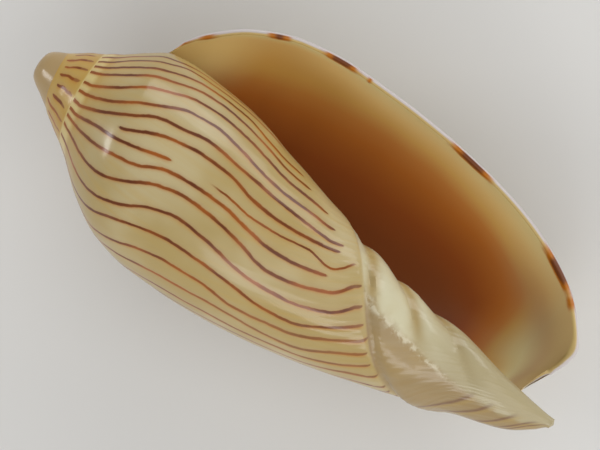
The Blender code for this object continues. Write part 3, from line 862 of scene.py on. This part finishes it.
@dataclass(frozen=True)
class ShellMesh:
    """Builds the shell's fine mesh, with the values of its finish as maps on it."""

    surface: ShellSurface = ShellSurface()
    plan: LinePlan = LinePlan()
    lip_spots: LipSpots = LipSpots()
    steps_per_turn: int = 240
    shoulder_rows: int = 14
    rows_up_to: tuple[tuple[float, int], ...] = ((0.66, 84), (0.72, 12), (0.8, 20), (0.86, 16), (1.0, 14))
    near_columns: int = 50
    near_depth: float = 60.0
    deep_columns: int = 90
    rim_steps: int = 8
    cap_rows: int = 9
    tip_rows: int = 3
    weld: float = 0.002
    sharp_from: float = 40.0
    origin: tuple[float, float, float] = (-38.2881, -2.9251, 20.283)

    def rows(self) -> Array:
        """Stations along a growth line, closer together over the plaits and the notch."""
        start = self.surface.form.shoulder()
        rows = [np.linspace(0.0, start, self.shoulder_rows, endpoint=False)]
        for end, count in self.rows_up_to:
            rows.append(np.linspace(start, end, count, endpoint=False))
            start = end
        return np.concatenate([*rows, [1.0]])

    def sheet(
        self, points: Array, turned: Array, along: Array, side: Side, drawn: tuple[Array, Array] | None = None
    ) -> Sheet:
        """A sheet with its values, worked out from its points.

        Args:
            points: Grid of points.
            turned: Growth angles of the grid.
            along: Shares down the growth line of the grid.
            side: Which side of the shell it is.
            drawn: Its stripe numbers and ink, unless it has none.

        Returns:
            The sheet.
        """
        turned, along = np.broadcast_arrays(turned, along)
        count, ink = drawn or (np.zeros(turned.shape), np.zeros(turned.shape))
        ink = np.broadcast_to(ink, turned.shape)
        angle = np.degrees(np.arctan2(-points[..., 2], points[..., 1])) % 360.0
        nearest = turned + self.surface.form.lean.at(along)
        angle = angle + 360.0 * np.round((nearest - angle) / 360.0)
        return Sheet(points, turned, along, side, count, ink, angle, points[..., 0])

    def sheets(self) -> list[Sheet]:
        """Every sheet of the surface.

        Returns:
            The sheets, whose edges meet.
        """
        form, surface = self.surface.form, self.surface
        rows, shoulder = self.rows(), form.shoulder()
        step = 360.0 / self.steps_per_turn
        turn = np.linspace(0.0, 360.0, self.steps_per_turn + 1)
        grid = np.broadcast_arrays(turn[None, :], rows[:, None])
        count = self.plan.count(turn, rows)
        whorls = np.arange(self.steps_per_turn, form.spire_turns * self.steps_per_turn + 1) * step
        back = float(form.suture.at(360.0))
        on_spire = form.line_place(360.0, rows[rows <= shoulder + TINY])
        share = (on_spire - back) / (form.suture.values[0] - back)
        older = np.broadcast_arrays(whorls[None, :], share[:, None])
        older_count = self.plan.count(whorls, rows[: len(share)])
        older_ink = self.plan.older_ink(older_count, *older)
        deep = np.concatenate([
            np.linspace(0.0, self.near_depth, self.near_columns, endpoint=False),
            np.linspace(self.near_depth, form.hollow_depth, self.deep_columns + 1),
        ])
        deep_in = deep[None, :]
        open_rows = rows[rows <= form.junction + TINY]
        down = open_rows[:, None]
        inner_down = down[open_rows >= shoulder - TINY]
        spots = self.lip_spots.at(down)
        no_count = np.zeros((1, 1))
        wall_drawn = (no_count, spots * ease(3.5, 0.5, deep_in))
        lip = np.broadcast_arrays(np.linspace(0.0, 1.0, self.rim_steps + 1)[None, :], down)
        first_whorl = whorls[None, -self.steps_per_turn - 1 :]
        cap = np.broadcast_arrays(first_whorl, np.linspace(0, 1, self.cap_rows)[:, None])
        tip = np.broadcast_arrays(turn[None, :], np.linspace(0, 1, self.tip_rows)[:, None])
        return [
            self.sheet(surface.outer(*grid), *grid, Side.OUTSIDE, (count, self.plan.ink(count, rows))),
            self.sheet(surface.spire(*older), *older, Side.SPIRE, (older_count, older_ink)),
            self.sheet(surface.inner_side(deep, inner_down), deep_in, inner_down, Side.MOUTH_PILLAR),
            self.sheet(surface.outer_side(deep, down), deep_in, down, Side.MOUTH_WALL, wall_drawn),
            self.sheet(surface.rim(open_rows, self.rim_steps), *lip, Side.RIM, (no_count, spots)),
            self.sheet(surface.spire_cap(*cap), cap[0], np.zeros_like(cap[1]), Side.SPIRE),
            self.sheet(surface.tip_cap(*tip), tip[0], np.ones_like(tip[1]), Side.OUTSIDE),
        ]

    def add_sheet(self, mesh: bmesh.types.BMesh, sheet: Sheet) -> None:
        """Adds a grid, bends it to the sheet's points and writes its maps.

        Args:
            mesh: Mesh that grows.
            sheet: Points and values.
        """
        rows, columns = sheet.turned.shape
        made = bmesh.ops.create_grid(mesh, x_segments=columns - 1, y_segments=rows - 1, size=0.5)["verts"]
        places = np.array([vertex.co[:2] for vertex in made]) + 0.5
        column = np.round(places[:, 0] * (columns - 1)).astype(int)
        row = np.round(places[:, 1] * (rows - 1)).astype(int)
        for vertex, point in zip(made, sheet.points[row, column] * MILLIMETRE):
            vertex.co = point
        maps = {
            "growth": (sheet.turned / 360.0, sheet.along),
            "line": (sheet.count, sheet.pitch()),
            "ink": (sheet.ink, sheet.side.value),
            "spiral": (sheet.place, sheet.angle),
        }
        layers = []
        for name, pair in maps.items():
            pair = [np.broadcast_to(value, (rows, columns)) for value in pair]
            layers.append((mesh.loops.layers.uv[name], np.stack(pair, -1)[row, column]))
        mesh.verts.index_update()
        first = made[0].index
        for face in {face for vertex in made for face in vertex.link_faces}:
            for loop in face.loops:
                at = loop.vert.index - first
                for layer, value in layers:
                    loop[layer].uv = value[at]

    def lay_down(self, mesh: bmesh.types.BMesh, box: tuple[Vector, Vector]) -> None:
        """Moves the shell onto its flat spot, and cuts that spot.

        Args:
            mesh: The welded shell about its axis.
            box: Lowest and highest corner of the part, which the surface stays inside.
        """
        shift = Vector(self.origin) * MILLIMETRE
        bmesh.ops.translate(mesh, vec=shift, verts=mesh.verts)
        everything = mesh.verts[:] + mesh.edges[:] + mesh.faces[:]
        cut = bmesh.ops.bisect_plane(
            mesh, geom=everything, dist=1e-7, plane_co=(0, 0, 0), plane_no=(0, 0, -1), clear_outer=True
        )
        edge = [item for item in cut["geom_cut"] if isinstance(item, bmesh.types.BMEdge)]
        spot = bmesh.ops.contextual_create(mesh, geom=edge)["faces"][0]
        low, high = (np.array(corner) for corner in box)
        for vertex in mesh.verts:
            vertex.co = np.clip(vertex.co, low, high)
        self.map_spot(mesh, spot)

    def map_spot(self, mesh: bmesh.types.BMesh, spot: bmesh.types.BMFace) -> None:
        """Carries the maps of the surface round the flat spot onto it.

        Args:
            mesh: The shell.
            spot: The flat face.
        """
        for layer in mesh.loops.layers.uv.values():
            for loop in spot.loops:
                beside = [other for other in loop.vert.link_loops if other.face is not spot]
                loop[layer].uv = beside[0][layer].uv

    def build(self, name: str, box: tuple[Vector, Vector]) -> bpy.types.Object:
        """The whole shell as one closed mesh.

        Args:
            name: Name of the piece.
            box: Lowest and highest corner of the part.

        Returns:
            The piece, at its place in the frame.
        """
        mesh = bmesh.new()
        for layer in ("growth", "line", "ink", "spiral"):
            mesh.loops.layers.uv.new(layer)
        for sheet in self.sheets():
            self.add_sheet(mesh, sheet)
        bmesh.ops.remove_doubles(mesh, verts=mesh.verts, dist=self.weld * MILLIMETRE)
        self.lay_down(mesh, box)
        bmesh.ops.recalc_face_normals(mesh, faces=mesh.faces)
        piece = add_mesh(name, mesh)
        piece.data.shade_smooth()
        piece.data.set_sharp_from_angle(angle=math.radians(self.sharp_from))
        return piece


class Val:
    """A socket that can be used in sums, with each operator adding its Math node."""

    def __init__(self, bench: "Bench", socket: bpy.types.NodeSocket) -> None:
        """Keeps the bench that makes nodes and the socket to wrap."""
        self.bench, self.socket = bench, socket

    def math(self, operation: str, *others: "Val | float") -> "Val":
        """This value and others through one Math node."""
        return self.bench.math(operation, self, *others)

    def __add__(self, other: "Val | float") -> "Val":
        """Sum."""
        return self.math("ADD", other)

    def __radd__(self, other: float) -> "Val":
        """Sum with a number first."""
        return self.math("ADD", other)

    def __sub__(self, other: "Val | float") -> "Val":
        """Difference."""
        return self.math("SUBTRACT", other)

    def __rsub__(self, other: float) -> "Val":
        """A number less this value."""
        return self.bench.math("SUBTRACT", other, self)

    def __mul__(self, other: "Val | float") -> "Val":
        """Product."""
        return self.math("MULTIPLY", other)

    def __rmul__(self, other: float) -> "Val":
        """Product with a number first."""
        return self.math("MULTIPLY", other)

    def __truediv__(self, other: "Val | float") -> "Val":
        """Quotient."""
        return self.math("DIVIDE", other)

    def __abs__(self) -> "Val":
        """Size without sign."""
        return self.math("ABSOLUTE")

    def __neg__(self) -> "Val":
        """The value turned round."""
        return self.math("MULTIPLY", -1.0)

    def step(self, start: float, end: float) -> "Val":
        """Smooth step of this value from 0 at start to 1 at end, in either direction.

        Args:
            start: Where the step is 0.
            end: Where the step is 1.

        Returns:
            The step.
        """
        low, high, first, last = (start, end, 0.0, 1.0) if start < end else (end, start, 1.0, 0.0)
        made = self.bench.node(
            "ShaderNodeMapRange",
            {"interpolation_type": "SMOOTHSTEP"},
            {"Value": self, "From Min": low, "From Max": high, "To Min": first, "To Max": last},
        )
        return Val(self.bench, made.outputs["Result"])

    def bell(self, middle: float, width: float) -> "Val":
        """Smooth hump of this value, 1 at the middle and falling off over the width.

        Args:
            middle: Where the hump is highest.
            width: How wide it is.

        Returns:
            The hump.
        """
        away = (self - middle) * (1.0 / width)
        return self.bench.math("EXPONENT", -(away * away))


Colour = tuple[float, float, float]


def linear(red: int, green: int, blue: int) -> Colour:
    """Linear colour of a display colour given in steps of 255.

    Args:
        red: Red of the display colour.
        green: Green of it.
        blue: Blue of it.

    Returns:
        The linear colour.
    """
    parts = (value / 255.0 for value in (red, green, blue))
    return tuple(p / 12.92 if p <= 0.04045 else ((p + 0.055) / 1.055) ** 2.4 for p in parts)


class Bench:
    """Makes the nodes of one material."""

    def __init__(self, name: str) -> None:
        """Starts an empty material.

        Args:
            name: Name of the material.
        """
        self.material = bpy.data.materials.new(name)
        self.material.use_nodes = True
        self.tree = self.material.node_tree
        self.tree.nodes.clear()

    def node(self, kind: str, settings: dict | None = None, inputs: dict | None = None) -> bpy.types.Node:
        """Adds a node, with its settings first and then its sockets.

        Args:
            kind: Type of the node.
            settings: Its properties.
            inputs: Values or links of its sockets, by name or number.

        Returns:
            The node.
        """
        made = self.tree.nodes.new(kind)
        for key, value in (settings or {}).items():
            setattr(made, key, value)
        for key, value in (inputs or {}).items():
            socket = made.inputs[key]
            if isinstance(value, Val):
                self.tree.links.new(value.socket, socket)
            elif isinstance(value, tuple) and len(value) == 3 and len(socket.default_value) == 4:
                socket.default_value = (*value, 1.0)
            else:
                socket.default_value = value
        return made

    def math(self, operation: str, *values: Val | float) -> Val:
        """Values through one Math node."""
        made = self.node("ShaderNodeMath", {"operation": operation}, dict(enumerate(values)))
        return Val(self, made.outputs[0])

    def uv(self, layer: str) -> tuple[Val, Val]:
        """Both values of one of the piece's own maps.

        Args:
            layer: Name of the map.

        Returns:
            Its two values.
        """
        at = Val(self, self.node("ShaderNodeUVMap", {"uv_map": layer}).outputs["UV"])
        parts = self.node("ShaderNodeSeparateXYZ", inputs={"Vector": at})
        return Val(self, parts.outputs["X"]), Val(self, parts.outputs["Y"])

    def place(self) -> Val:
        """Object coordinates."""
        return Val(self, self.node("ShaderNodeTexCoord").outputs["Object"])

    def vector(self, x: Val | float, y: Val | float, z: Val | float = 0.0) -> Val:
        """A vector from three values."""
        made = self.node("ShaderNodeCombineXYZ", inputs={"X": x, "Y": y, "Z": z})
        return Val(self, made.outputs["Vector"])

    def noise(self, at: Val, scale: float, detail: float = 2.0, rough: float = 0.5, warp: float = 0.0) -> Val:
        """Smooth noise about 0.5.

        Args:
            at: Where it is read.
            scale: How fine it is.
            detail: How many finer layers it has.
            rough: How strong those are.
            warp: How far it is stirred.

        Returns:
            The noise.
        """
        inputs = {"Vector": at, "Scale": scale, "Detail": detail, "Roughness": rough, "Distortion": warp}
        return Val(self, self.node("ShaderNodeTexNoise", inputs=inputs).outputs["Fac"])

    def mix(self, share: Val | float, first: Val | Colour, second: Val | Colour) -> Val:
        """Colour between two.

        Args:
            share: How much of the second.
            first: Colour where the share is 0.
            second: Colour where the share is 1.

        Returns:
            The mixed colour.
        """
        made = self.node(
            "ShaderNodeMix", {"data_type": "RGBA", "clamp_factor": True}, {0: share, 6: first, 7: second}
        )
        return Val(self, made.outputs[2])

    def ramp(self, at: Val, stops: tuple[tuple[float, Colour], ...]) -> Val:
        """Colour from a ramp.

        Args:
            at: Value from 0 to 1.
            stops: Places and colours, in order.

        Returns:
            The colour.
        """
        made = self.node("ShaderNodeValToRGB", inputs={"Fac": at})
        elements = made.color_ramp.elements
        while len(elements) < len(stops):
            elements.new(0.5)
        for element, (place, colour) in zip(elements, stops):
            element.position = place
            element.color = (*colour, 1.0)
        return Val(self, made.outputs["Color"])

    def finished(self, inputs: dict) -> bpy.types.Material:
        """Gives the material its one surface.

        Args:
            inputs: Values or links of the surface's sockets, by name.

        Returns:
            The material.
        """
        surface = self.node("ShaderNodeBsdfPrincipled", inputs=inputs)
        out = self.node("ShaderNodeOutputMaterial")
        self.tree.links.new(surface.outputs["BSDF"], out.inputs["Surface"])
        return self.material


@dataclass(frozen=True)
class Reading:
    """Values that the finish reads at each point, from the piece's own maps."""

    at: Val
    turned: Val
    along: Val
    count: Val
    pitch: Val
    ink: Val
    side: Val
    place: Val
    angle: Val

    @classmethod
    def of(cls, bench: Bench) -> "Reading":
        """Reads every map of the piece.

        Args:
            bench: Node maker.

        Returns:
            The values.
        """
        turn, along = bench.uv("growth")
        others = (value for layer in ("line", "ink", "spiral") for value in bench.uv(layer))
        return cls(bench.place(), turn * 360.0, along, *others)


@dataclass(frozen=True)
class ShellFinish:
    """Glossy porcelain-like finish of the whole shell, with its pattern and its mouth."""

    cream: Colour = linear(170, 147, 92)
    warm_cream: Colour = linear(183, 149, 77)
    milky: Colour = linear(189, 173, 132)
    amber: Colour = linear(176, 108, 32)
    line_brown: Colour = linear(90, 36, 2)
    line_red: Colour = linear(150, 78, 14)
    line_violet: Colour = linear(104, 68, 50)
    violet_glow: Colour = linear(160, 138, 118)
    welt: Colour = linear(206, 185, 123)
    first_whorl: Colour = linear(168, 141, 97)
    spire_yellow: Colour = linear(180, 139, 60)
    fasciole: Colour = linear(154, 130, 89)
    fasciole_arc: Colour = linear(161, 143, 109)
    callus: Colour = linear(201, 194, 162)
    # Painted highlight: pale ragged line along the callus's border.
    painted_edge_highlight: Colour = linear(226, 218, 190)
    # Yellow of the plait grooves, also laid as random tint; where it follows the grooves it is partly painted
    # shade.
    groove: Colour = linear(167, 139, 81)
    tip: Colour = linear(166, 151, 113)
    scar: Colour = linear(104, 68, 58)
    # Painted highlight: pale whitish-violet along the lip's outer edge.
    rim: Colour = linear(196, 187, 184)
    rim_cream: Colour = linear(190, 164, 104)
    spot_amber: Colour = linear(176, 104, 22)
    spot_brown: Colour = linear(92, 48, 32)
    # Painted light: near-white cream that brightens the mouth's narrow back corner, which lies in shade.
    corner_painted_light: Colour = linear(252, 224, 150)
    mouth_gold: Colour = linear(226, 166, 70)
    mouth_beige: Colour = linear(170, 118, 62)
    mouth_mauve: Colour = linear(178, 152, 132)
    deep_brown: Colour = linear(120, 66, 30)
    mouth_stops: tuple[tuple[float, Colour], ...] = (
        (0.0, linear(222, 209, 151)),
        (0.12, linear(222, 198, 135)),
        (0.2, linear(219, 185, 118)),
        (0.3, linear(214, 168, 93)),
        (0.42, linear(205, 135, 66)),
        (0.56, linear(197, 117, 48)),
        (0.8, linear(170, 91, 40)),
        (1.0, linear(156, 85, 42)),
    )
    mouth_depth: float = 70.0
    line_half: float = 0.235
    line_wander: float = 0.2
    groove_places: Numbers = ShellForm.plait_grooves[1:4]
    plait_pitch: float = ShellForm.plait_pitch
    scar_slant: float = 0.08
    scar_bend: float = 0.03
    scar_places: Numbers = (60.6, 63.7, 67.5, 70.3, 71.6)
    callus_place: float = 59.6
    callus_angle: float = 267.6
    callus_slant: float = 2.2
    callus_wander: float = 14.0
    refraction: float = 1.5
    bump_strength: float = 0.3
    bump_height: float = 0.00012
    gloss: float = 0.5
    shine: float = 0.15
    coat_roughness: float = 0.16

    def lines(self, bench: Bench, here: Reading, base: Val) -> Val:
        """Draws the brown lines over a ground colour.

        Args:
            bench: Node maker.
            here: Values of the piece's maps.
            base: Ground colour.

        Returns:
            The ground with its lines.
        """
        fine = bench.noise(here.at, 900.0, 2.0) - 0.5
        broad = bench.noise(here.at, 260.0, 1.0) - 0.5
        away = (here.count - here.count.math("ROUND")) / here.pitch
        away = away + fine * self.line_wander + broad * self.line_wander
        half = self.line_half + 0.14 * broad + 0.05 * fine
        reach = abs(away) / (half * (0.4 + 0.6 * here.ink))
        core = reach.step(1.4, 0.6) * here.ink.step(0.05, 0.4)
        amber = away.bell(0.08, 0.36) * here.ink * 0.7
        violet = away.bell(-0.42, 0.3) * here.ink * 0.14
        shade = bench.mix(amber, base, self.amber)
        shade = bench.mix(violet, shade, self.violet_glow)
        patchy = bench.noise(here.at, 150.0, 2.0)
        drawn = bench.mix(patchy.step(0.35, 0.7), self.line_brown, self.line_red)
        patch = here.turned.step(222.0, 196.0) * here.turned.step(150.0, 172.0) * here.along.step(0.3, 0.5)
        greyed = bench.math("MAXIMUM", patch, here.along.step(0.655, 0.69) * 0.8)
        drawn = bench.mix(greyed * 0.55, drawn, self.line_violet)
        return bench.mix(core * (0.96 - 0.3 * greyed), shade, drawn)

    def ground(self, bench: Bench, here: Reading) -> Val:
        """Cream ground of the body whorl.

        Args:
            bench: Node maker.
            here: Values of the piece's maps.

        Returns:
            The ground colour.
        """
        cloud = bench.noise(here.at, 50.0, 3.0)
        streak = bench.noise(bench.vector(here.turned * 0.25, here.along * 3.0), 1.0, 3.0)
        shade = bench.mix(cloud.step(0.38, 0.62) * 0.8, self.cream, self.milky)
        shade = bench.mix(streak.step(0.45, 0.75) * 0.3, shade, self.warm_cream)
        shade = bench.mix(here.along.step(0.12, 0.0) * 0.8, shade, self.warm_cream)
        smear = bench.noise(here.at, 620.0, 2.0)
        beside_band = here.along.bell(0.02, 0.016) * smear.step(0.42, 0.6)
        shade = bench.mix(beside_band * 0.5, shade, self.spire_yellow)
        return bench.mix(here.along.step(0.03, 0.014) * 0.9, shade, self.welt)

    def spire(self, bench: Bench, here: Reading) -> Val:
        """Yellowish band of the older whorl with its short lines, and the plain first whorl.

        Args:
            bench: Node maker.
            here: Values of the piece's maps.

        Returns:
            The colour of the spire.
        """
        cloud = bench.noise(here.at, 300.0, 2.0)
        yellow = here.along.step(0.1, 0.8) * cloud.step(0.3, 0.6)
        wander = bench.noise(here.at, 240.0, 2.0) - 0.5
        drawn = replace(here, count=here.count + wander * 0.8, ink=here.ink * cloud.step(0.2, 0.36))
        band = self.lines(bench, drawn, bench.mix(yellow * 0.45, self.warm_cream, self.spire_yellow))
        band = bench.mix(here.along.bell(0.0, 0.06) * 0.6, band, self.spire_yellow)
        band = bench.mix(here.along.step(0.93, 1.0) * 0.8, band, self.welt)
        return bench.mix(here.angle.step(745.0, 800.0), band, self.first_whorl)

    def arcs(self, bench: Bench, here: Reading) -> Val:
        """Crescent growth arcs of the fasciole, as noise that follows the growth lines."""
        return bench.noise(bench.vector(here.turned * 0.16, here.along * 9.0), 1.0, 3.0, 0.55, 0.6)

    def past_callus(self, bench: Bench, here: Reading) -> Val:
        """How far a point lies past the callus's ragged border.

        Args:
            bench: Node maker.
            here: Values of the piece's maps.

        Returns:
            Degrees past the border.
        """
        wobble = (bench.noise(here.at, 420.0, 3.0, 0.6) - 0.5) * self.callus_wander
        slant = (here.place - self.callus_place) * self.callus_slant
        return here.angle - self.callus_angle + slant + wobble

    def front(self, bench: Bench, here: Reading) -> Val:
        """Fasciole with its growth arcs and scars, the white callus over the plaits, a painted highlight
        along the callus's border, and painted shade in the plait grooves.

        Args:
            bench: Node maker.
            here: Values of the piece's maps.

        Returns:
            The colour of the shell's front.
        """
        cloud = bench.noise(here.at, 120.0, 3.0)
        arcs = self.arcs(bench, here)
        shade = bench.mix(arcs.step(0.35, 0.7) * 0.4, self.fasciole, self.fasciole_arc)
        shade = bench.mix(cloud.step(0.5, 0.7) * 0.4, shade, self.groove)
        callus = self.past_callus(bench, here).step(-6.0, 8.0)
        glaze = bench.mix(cloud.step(0.45, 0.75) * 0.35, self.callus, self.groove)
        back = here.place * ((here.angle - 360.0) * self.plait_pitch).math("EXPONENT")
        # Plait grooves darkened to yellow: partly their own tint, partly painted shade in the creases.
        for start in self.groove_places:
            dark = back.bell(start + 0.5, 1.1) * here.angle.step(235.0, 280.0)
            glaze = bench.mix(dark * 0.85, glaze, self.groove)
        glaze = bench.mix(here.place.step(63.0, 76.0) * 0.9, glaze, self.tip)
        shade = bench.mix(callus, shade, glaze)
        # Painted highlight: a ragged pale line along the callus's raised border.
        border = self.past_callus(bench, here).bell(-2.0, 4.5) * here.place.step(76.0, 72.0)
        flaky = bench.noise(here.at, 900.0, 3.0, 0.6).step(0.42, 0.6)
        shade = bench.mix(border * flaky * 0.5, shade, self.painted_edge_highlight)
        bent = (here.angle - 205.0) * self.scar_bend
        slant = here.place - here.angle * self.scar_slant + bent * bent + (cloud - 0.5) * 1.2
        seen = here.angle.step(240.0, 212.0) * here.angle.step(150.0, 180.0)
        for place in self.scar_places:
            shade = bench.mix(slant.bell(place, 0.4) * seen * 0.7, shade, self.scar)
            shade = bench.mix(slant.bell(place + 0.7, 0.5) * seen * 0.5, shade, self.groove)
        hooks = here.along.bell(0.716, 0.004) * here.turned.step(150.0, 175.0)
        hooks = hooks * here.turned.step(250.0, 225.0)
        return bench.mix(hooks * cloud.step(0.35, 0.6) * 0.6, shade, self.scar)

    def mouth(self, bench: Bench, here: Reading) -> Val:
        """Inside of the mouth: pale honey at the lip, deepening to red-brown, with painted light in its
        shaded back corner.

        Args:
            bench: Node maker.
            here: Values of the piece's maps.

        Returns:
            The colour of the mouth's wall.
        """
        cloud = bench.noise(here.at, 60.0, 2.0) - 0.5
        depth = here.turned + cloud * 6.0 + here.along.bell(0.45, 0.12) * 4.0
        depth = depth - here.along.step(0.36, 0.08) * 7.0
        depth = depth + here.along.bell(0.55, 0.08) * here.turned.step(18.0, 32.0) * 7.0
        depth = depth - here.along.step(0.6, 0.72) * 34.0
        shade = bench.ramp(depth / self.mouth_depth, self.mouth_stops)
        front = here.along.step(0.5, 0.66)
        shade = bench.mix(front * here.turned.bell(20.0, 9.0) * 0.35, shade, self.mouth_mauve)
        shade = bench.mix(front * here.turned.step(44.0, 14.0) * 0.55, shade, self.mouth_beige)
        golden = here.along.step(0.34, 0.1) * here.turned.step(46.0, 20.0) * here.turned.step(0.0, 8.0)
        shade = bench.mix(golden * 0.6, shade, self.mouth_gold)
        # Painted light over the mouth's narrow back corner, which lies in shade.
        corner = here.along.step(0.12, 0.03) * here.turned.step(60.0, 25.0)
        shade = bench.mix(corner * 0.75, shade, self.corner_painted_light)
        return self.spotted(bench, here, shade)

    def spotted(self, bench: Bench, here: Reading, base: Val) -> Val:
        """Puts the amber spots of the lip over a colour.

        Args:
            bench: Node maker.
            here: Values of the piece's maps.
            base: Colour under them.

        Returns:
            The colour with its spots.
        """
        ragged = here.ink + (bench.noise(here.at, 700.0, 2.0) - 0.5) * 0.3
        shade = bench.mix(ragged.step(0.06, 0.5), base, self.spot_amber)
        return bench.mix(ragged.step(0.5, 0.85) * 0.85, shade, self.spot_brown)

    def edge(self, bench: Bench, here: Reading) -> Val:
        """Lip's rounded edge: a pale line outside, which is a painted highlight, cream and spots inside it.

        Args:
            bench: Node maker.
            here: Values of the piece's maps.

        Returns:
            The colour of the edge.
        """
        # Painted highlight: the pale rim colour over the outer part of the edge.
        pale = bench.mix(here.turned.step(0.68, 0.48), self.rim_cream, self.rim)
        dark = self.spotted(bench, here, pale)
        return bench.mix(here.turned.step(0.3, 0.5), pale, dark)

    def material(self, name: str) -> bpy.types.Material:
        """Builds the material.

        Args:
            name: Name of the material.

        Returns:
            The material.
        """
        bench = Bench(name)
        here = Reading.of(bench)
        front = here.along.step(0.705, 0.725)
        outside = self.lines(bench, here, self.ground(bench, here))
        outside = bench.mix(front, outside, self.front(bench, here))
        inside = bench.mix(here.turned.step(20.0, 60.0), self.callus, self.deep_brown)
        shade = bench.mix(here.side.step(0.4, 0.6), outside, self.mouth(bench, here))
        shade = bench.mix(here.side.step(1.4, 1.6), shade, inside)
        shade = bench.mix(here.side.step(2.4, 2.6), shade, self.edge(bench, here))
        shade = bench.mix(here.side.step(3.4, 3.6), shade, self.spire(bench, here))
        rough = 0.3 + 0.12 * bench.noise(here.at, 120.0, 2.0)
        only_front = front * here.side.step(0.6, 0.4)
        ragged = self.past_callus(bench, here).bell(0.0, 6.0) * bench.noise(here.at, 1400.0, 2.0, 0.6)
        fine = bench.noise(here.at, 500.0, 3.0, 0.6)
        height = fine * 0.3 + only_front * (self.arcs(bench, here) * 0.12 + ragged * 3.5)
        relief = {"Strength": self.bump_strength, "Distance": self.bump_height, "Height": height}
        bump = bench.node("ShaderNodeBump", inputs=relief)
        return bench.finished({
            "Base Color": shade,
            "Roughness": rough,
            "Normal": Val(bench, bump.outputs["Normal"]),
            "IOR": self.refraction,
            "Specular IOR Level": self.shine,
            "Coat Weight": self.gloss,
            "Coat Roughness": self.coat_roughness,
        })


@dataclass(frozen=True)
class VoluteShell:
    """The shell itself, in place of the part's plain solid."""

    mesh: ShellMesh = ShellMesh()
    finish: ShellFinish = ShellFinish()
    name: str = "volute_surface"
    material: str = "volute_porcelain"

    def build(self, box: tuple[Vector, Vector]) -> bpy.types.Object:
        """Builds and dresses the shell.

        Args:
            box: Lowest and highest corner of the part.

        Returns:
            The finished piece.
        """
        piece = self.mesh.build(self.name, box)
        piece.data.materials.append(self.finish.material(self.material))
        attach(piece, "root")
        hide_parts("shell")
        return piece


@dataclass(frozen=True)
class SoftLight:
    """One rectangular studio light, aimed at the shell."""

    name: str
    place: tuple[float, float, float]
    size: tuple[float, float]
    power: float
    colour: Colour = (1.0, 1.0, 1.0)

    def build(self, aim: Vector) -> bpy.types.Object:
        """Adds the light.

        Args:
            aim: Point that it faces.

        Returns:
            The light.
        """
        data = bpy.data.lights.new(self.name, "AREA")
        data.shape = "RECTANGLE"
        data.size, data.size_y = self.size
        data.energy = self.power
        data.color = self.colour
        lamp = add_object(self.name, data)
        lamp.location = self.place
        lamp.rotation_euler = (aim - Vector(self.place)).to_track_quat("-Z", "Y").to_euler()
        return lamp


@dataclass(frozen=True)
class Studio:
    """Floor, soft lights and camera, at the photograph's angle."""

    look_at: tuple[float, float, float] = (6.212, -0.425, 20.283)
    distance: float = 450.0
    lean: float = 6.0
    roll: float = 35.15
    lens: float = 189.0
    near_clip: float = 0.01
    floor_half: float = 1.5
    floor_colour: Colour = linear(214, 212, 208)
    floor_roughness: float = 0.9
    lit_point: tuple[float, float, float] = (0.0, 0.0, 0.02)
    lights: tuple[SoftLight, ...] = (
        SoftLight("key_softbox", (0.26, -0.58, 0.46), (0.42, 0.26), 1.4),
        SoftLight("front_softbox", (0.55, -0.10, 0.45), (1.0, 0.9), 3.7),
        SoftLight("window_softbox", (-0.60, -0.24, 0.24), (0.22, 0.12), 0.9),
        SoftLight("side_softbox", (-0.14, 0.66, 0.26), (0.9, 0.34), 3.0),
    )
    sky: Colour = (0.85, 0.87, 0.9)
    sky_strength: float = 0.43

    def floor(self) -> bpy.types.Object:
        """Wide pale floor under the shell.

        Returns:
            The floor.
        """
        mesh = bmesh.new()
        bmesh.ops.create_grid(mesh, x_segments=1, y_segments=1, size=self.floor_half)
        floor = add_mesh("floor", mesh)
        look = {"Base Color": self.floor_colour, "Roughness": self.floor_roughness}
        floor.data.materials.append(Bench("floor_paper").finished(look))
        return floor

    def camera(self) -> bpy.types.Object:
        """Camera that looks down into the mouth, turned as the photograph is.

        Returns:
            The camera.
        """
        lean, roll = math.radians(self.lean), math.radians(self.roll)
        back = Vector((math.sin(lean), 0.0, math.cos(lean)))
        flat = Vector((math.cos(lean), 0.0, -math.sin(lean)))
        side = Vector((0.0, 1.0, 0.0))
        right = flat * math.cos(roll) + side * math.sin(roll)
        up = side * math.cos(roll) - flat * math.sin(roll)
        place = Vector(self.look_at) * MILLIMETRE + back * self.distance * MILLIMETRE
        data = bpy.data.cameras.new("camera")
        data.lens = self.lens
        data.clip_start = self.near_clip
        camera = add_object("camera", data)
        turn = Matrix((right, up, back)).transposed().to_4x4()
        camera.matrix_world = Matrix.Translation(place) @ turn
        bpy.context.scene.camera = camera
        return camera

    def build(self) -> None:
        """Sets up the floor, the lights, the sky and the camera."""
        scene = bpy.context.scene
        self.floor()
        self.camera()
        for light in self.lights:
            light.build(Vector(self.lit_point))
        world = bpy.data.worlds.new("studio")
        world.use_nodes = True
        background = world.node_tree.nodes["Background"]
        background.inputs["Color"].default_value = (*self.sky, 1.0)
        background.inputs["Strength"].default_value = self.sky_strength
        scene.world = world
        scene.view_settings.view_transform = "Standard"


def main() -> None:
    """Builds the shell and its studio, and reports each piece."""
    logging.basicConfig(level=logging.INFO, format="%(message)s")
    piece = VoluteShell().build(cad_box)
    LOG.info("%s: %d faces", piece.name, len(piece.data.polygons))
    studio = Studio()
    studio.build()
    LOG.info("studio: %d lights", len(studio.lights))
    bpy.context.view_layer.update()


if __name__ == "__main__":
    main()
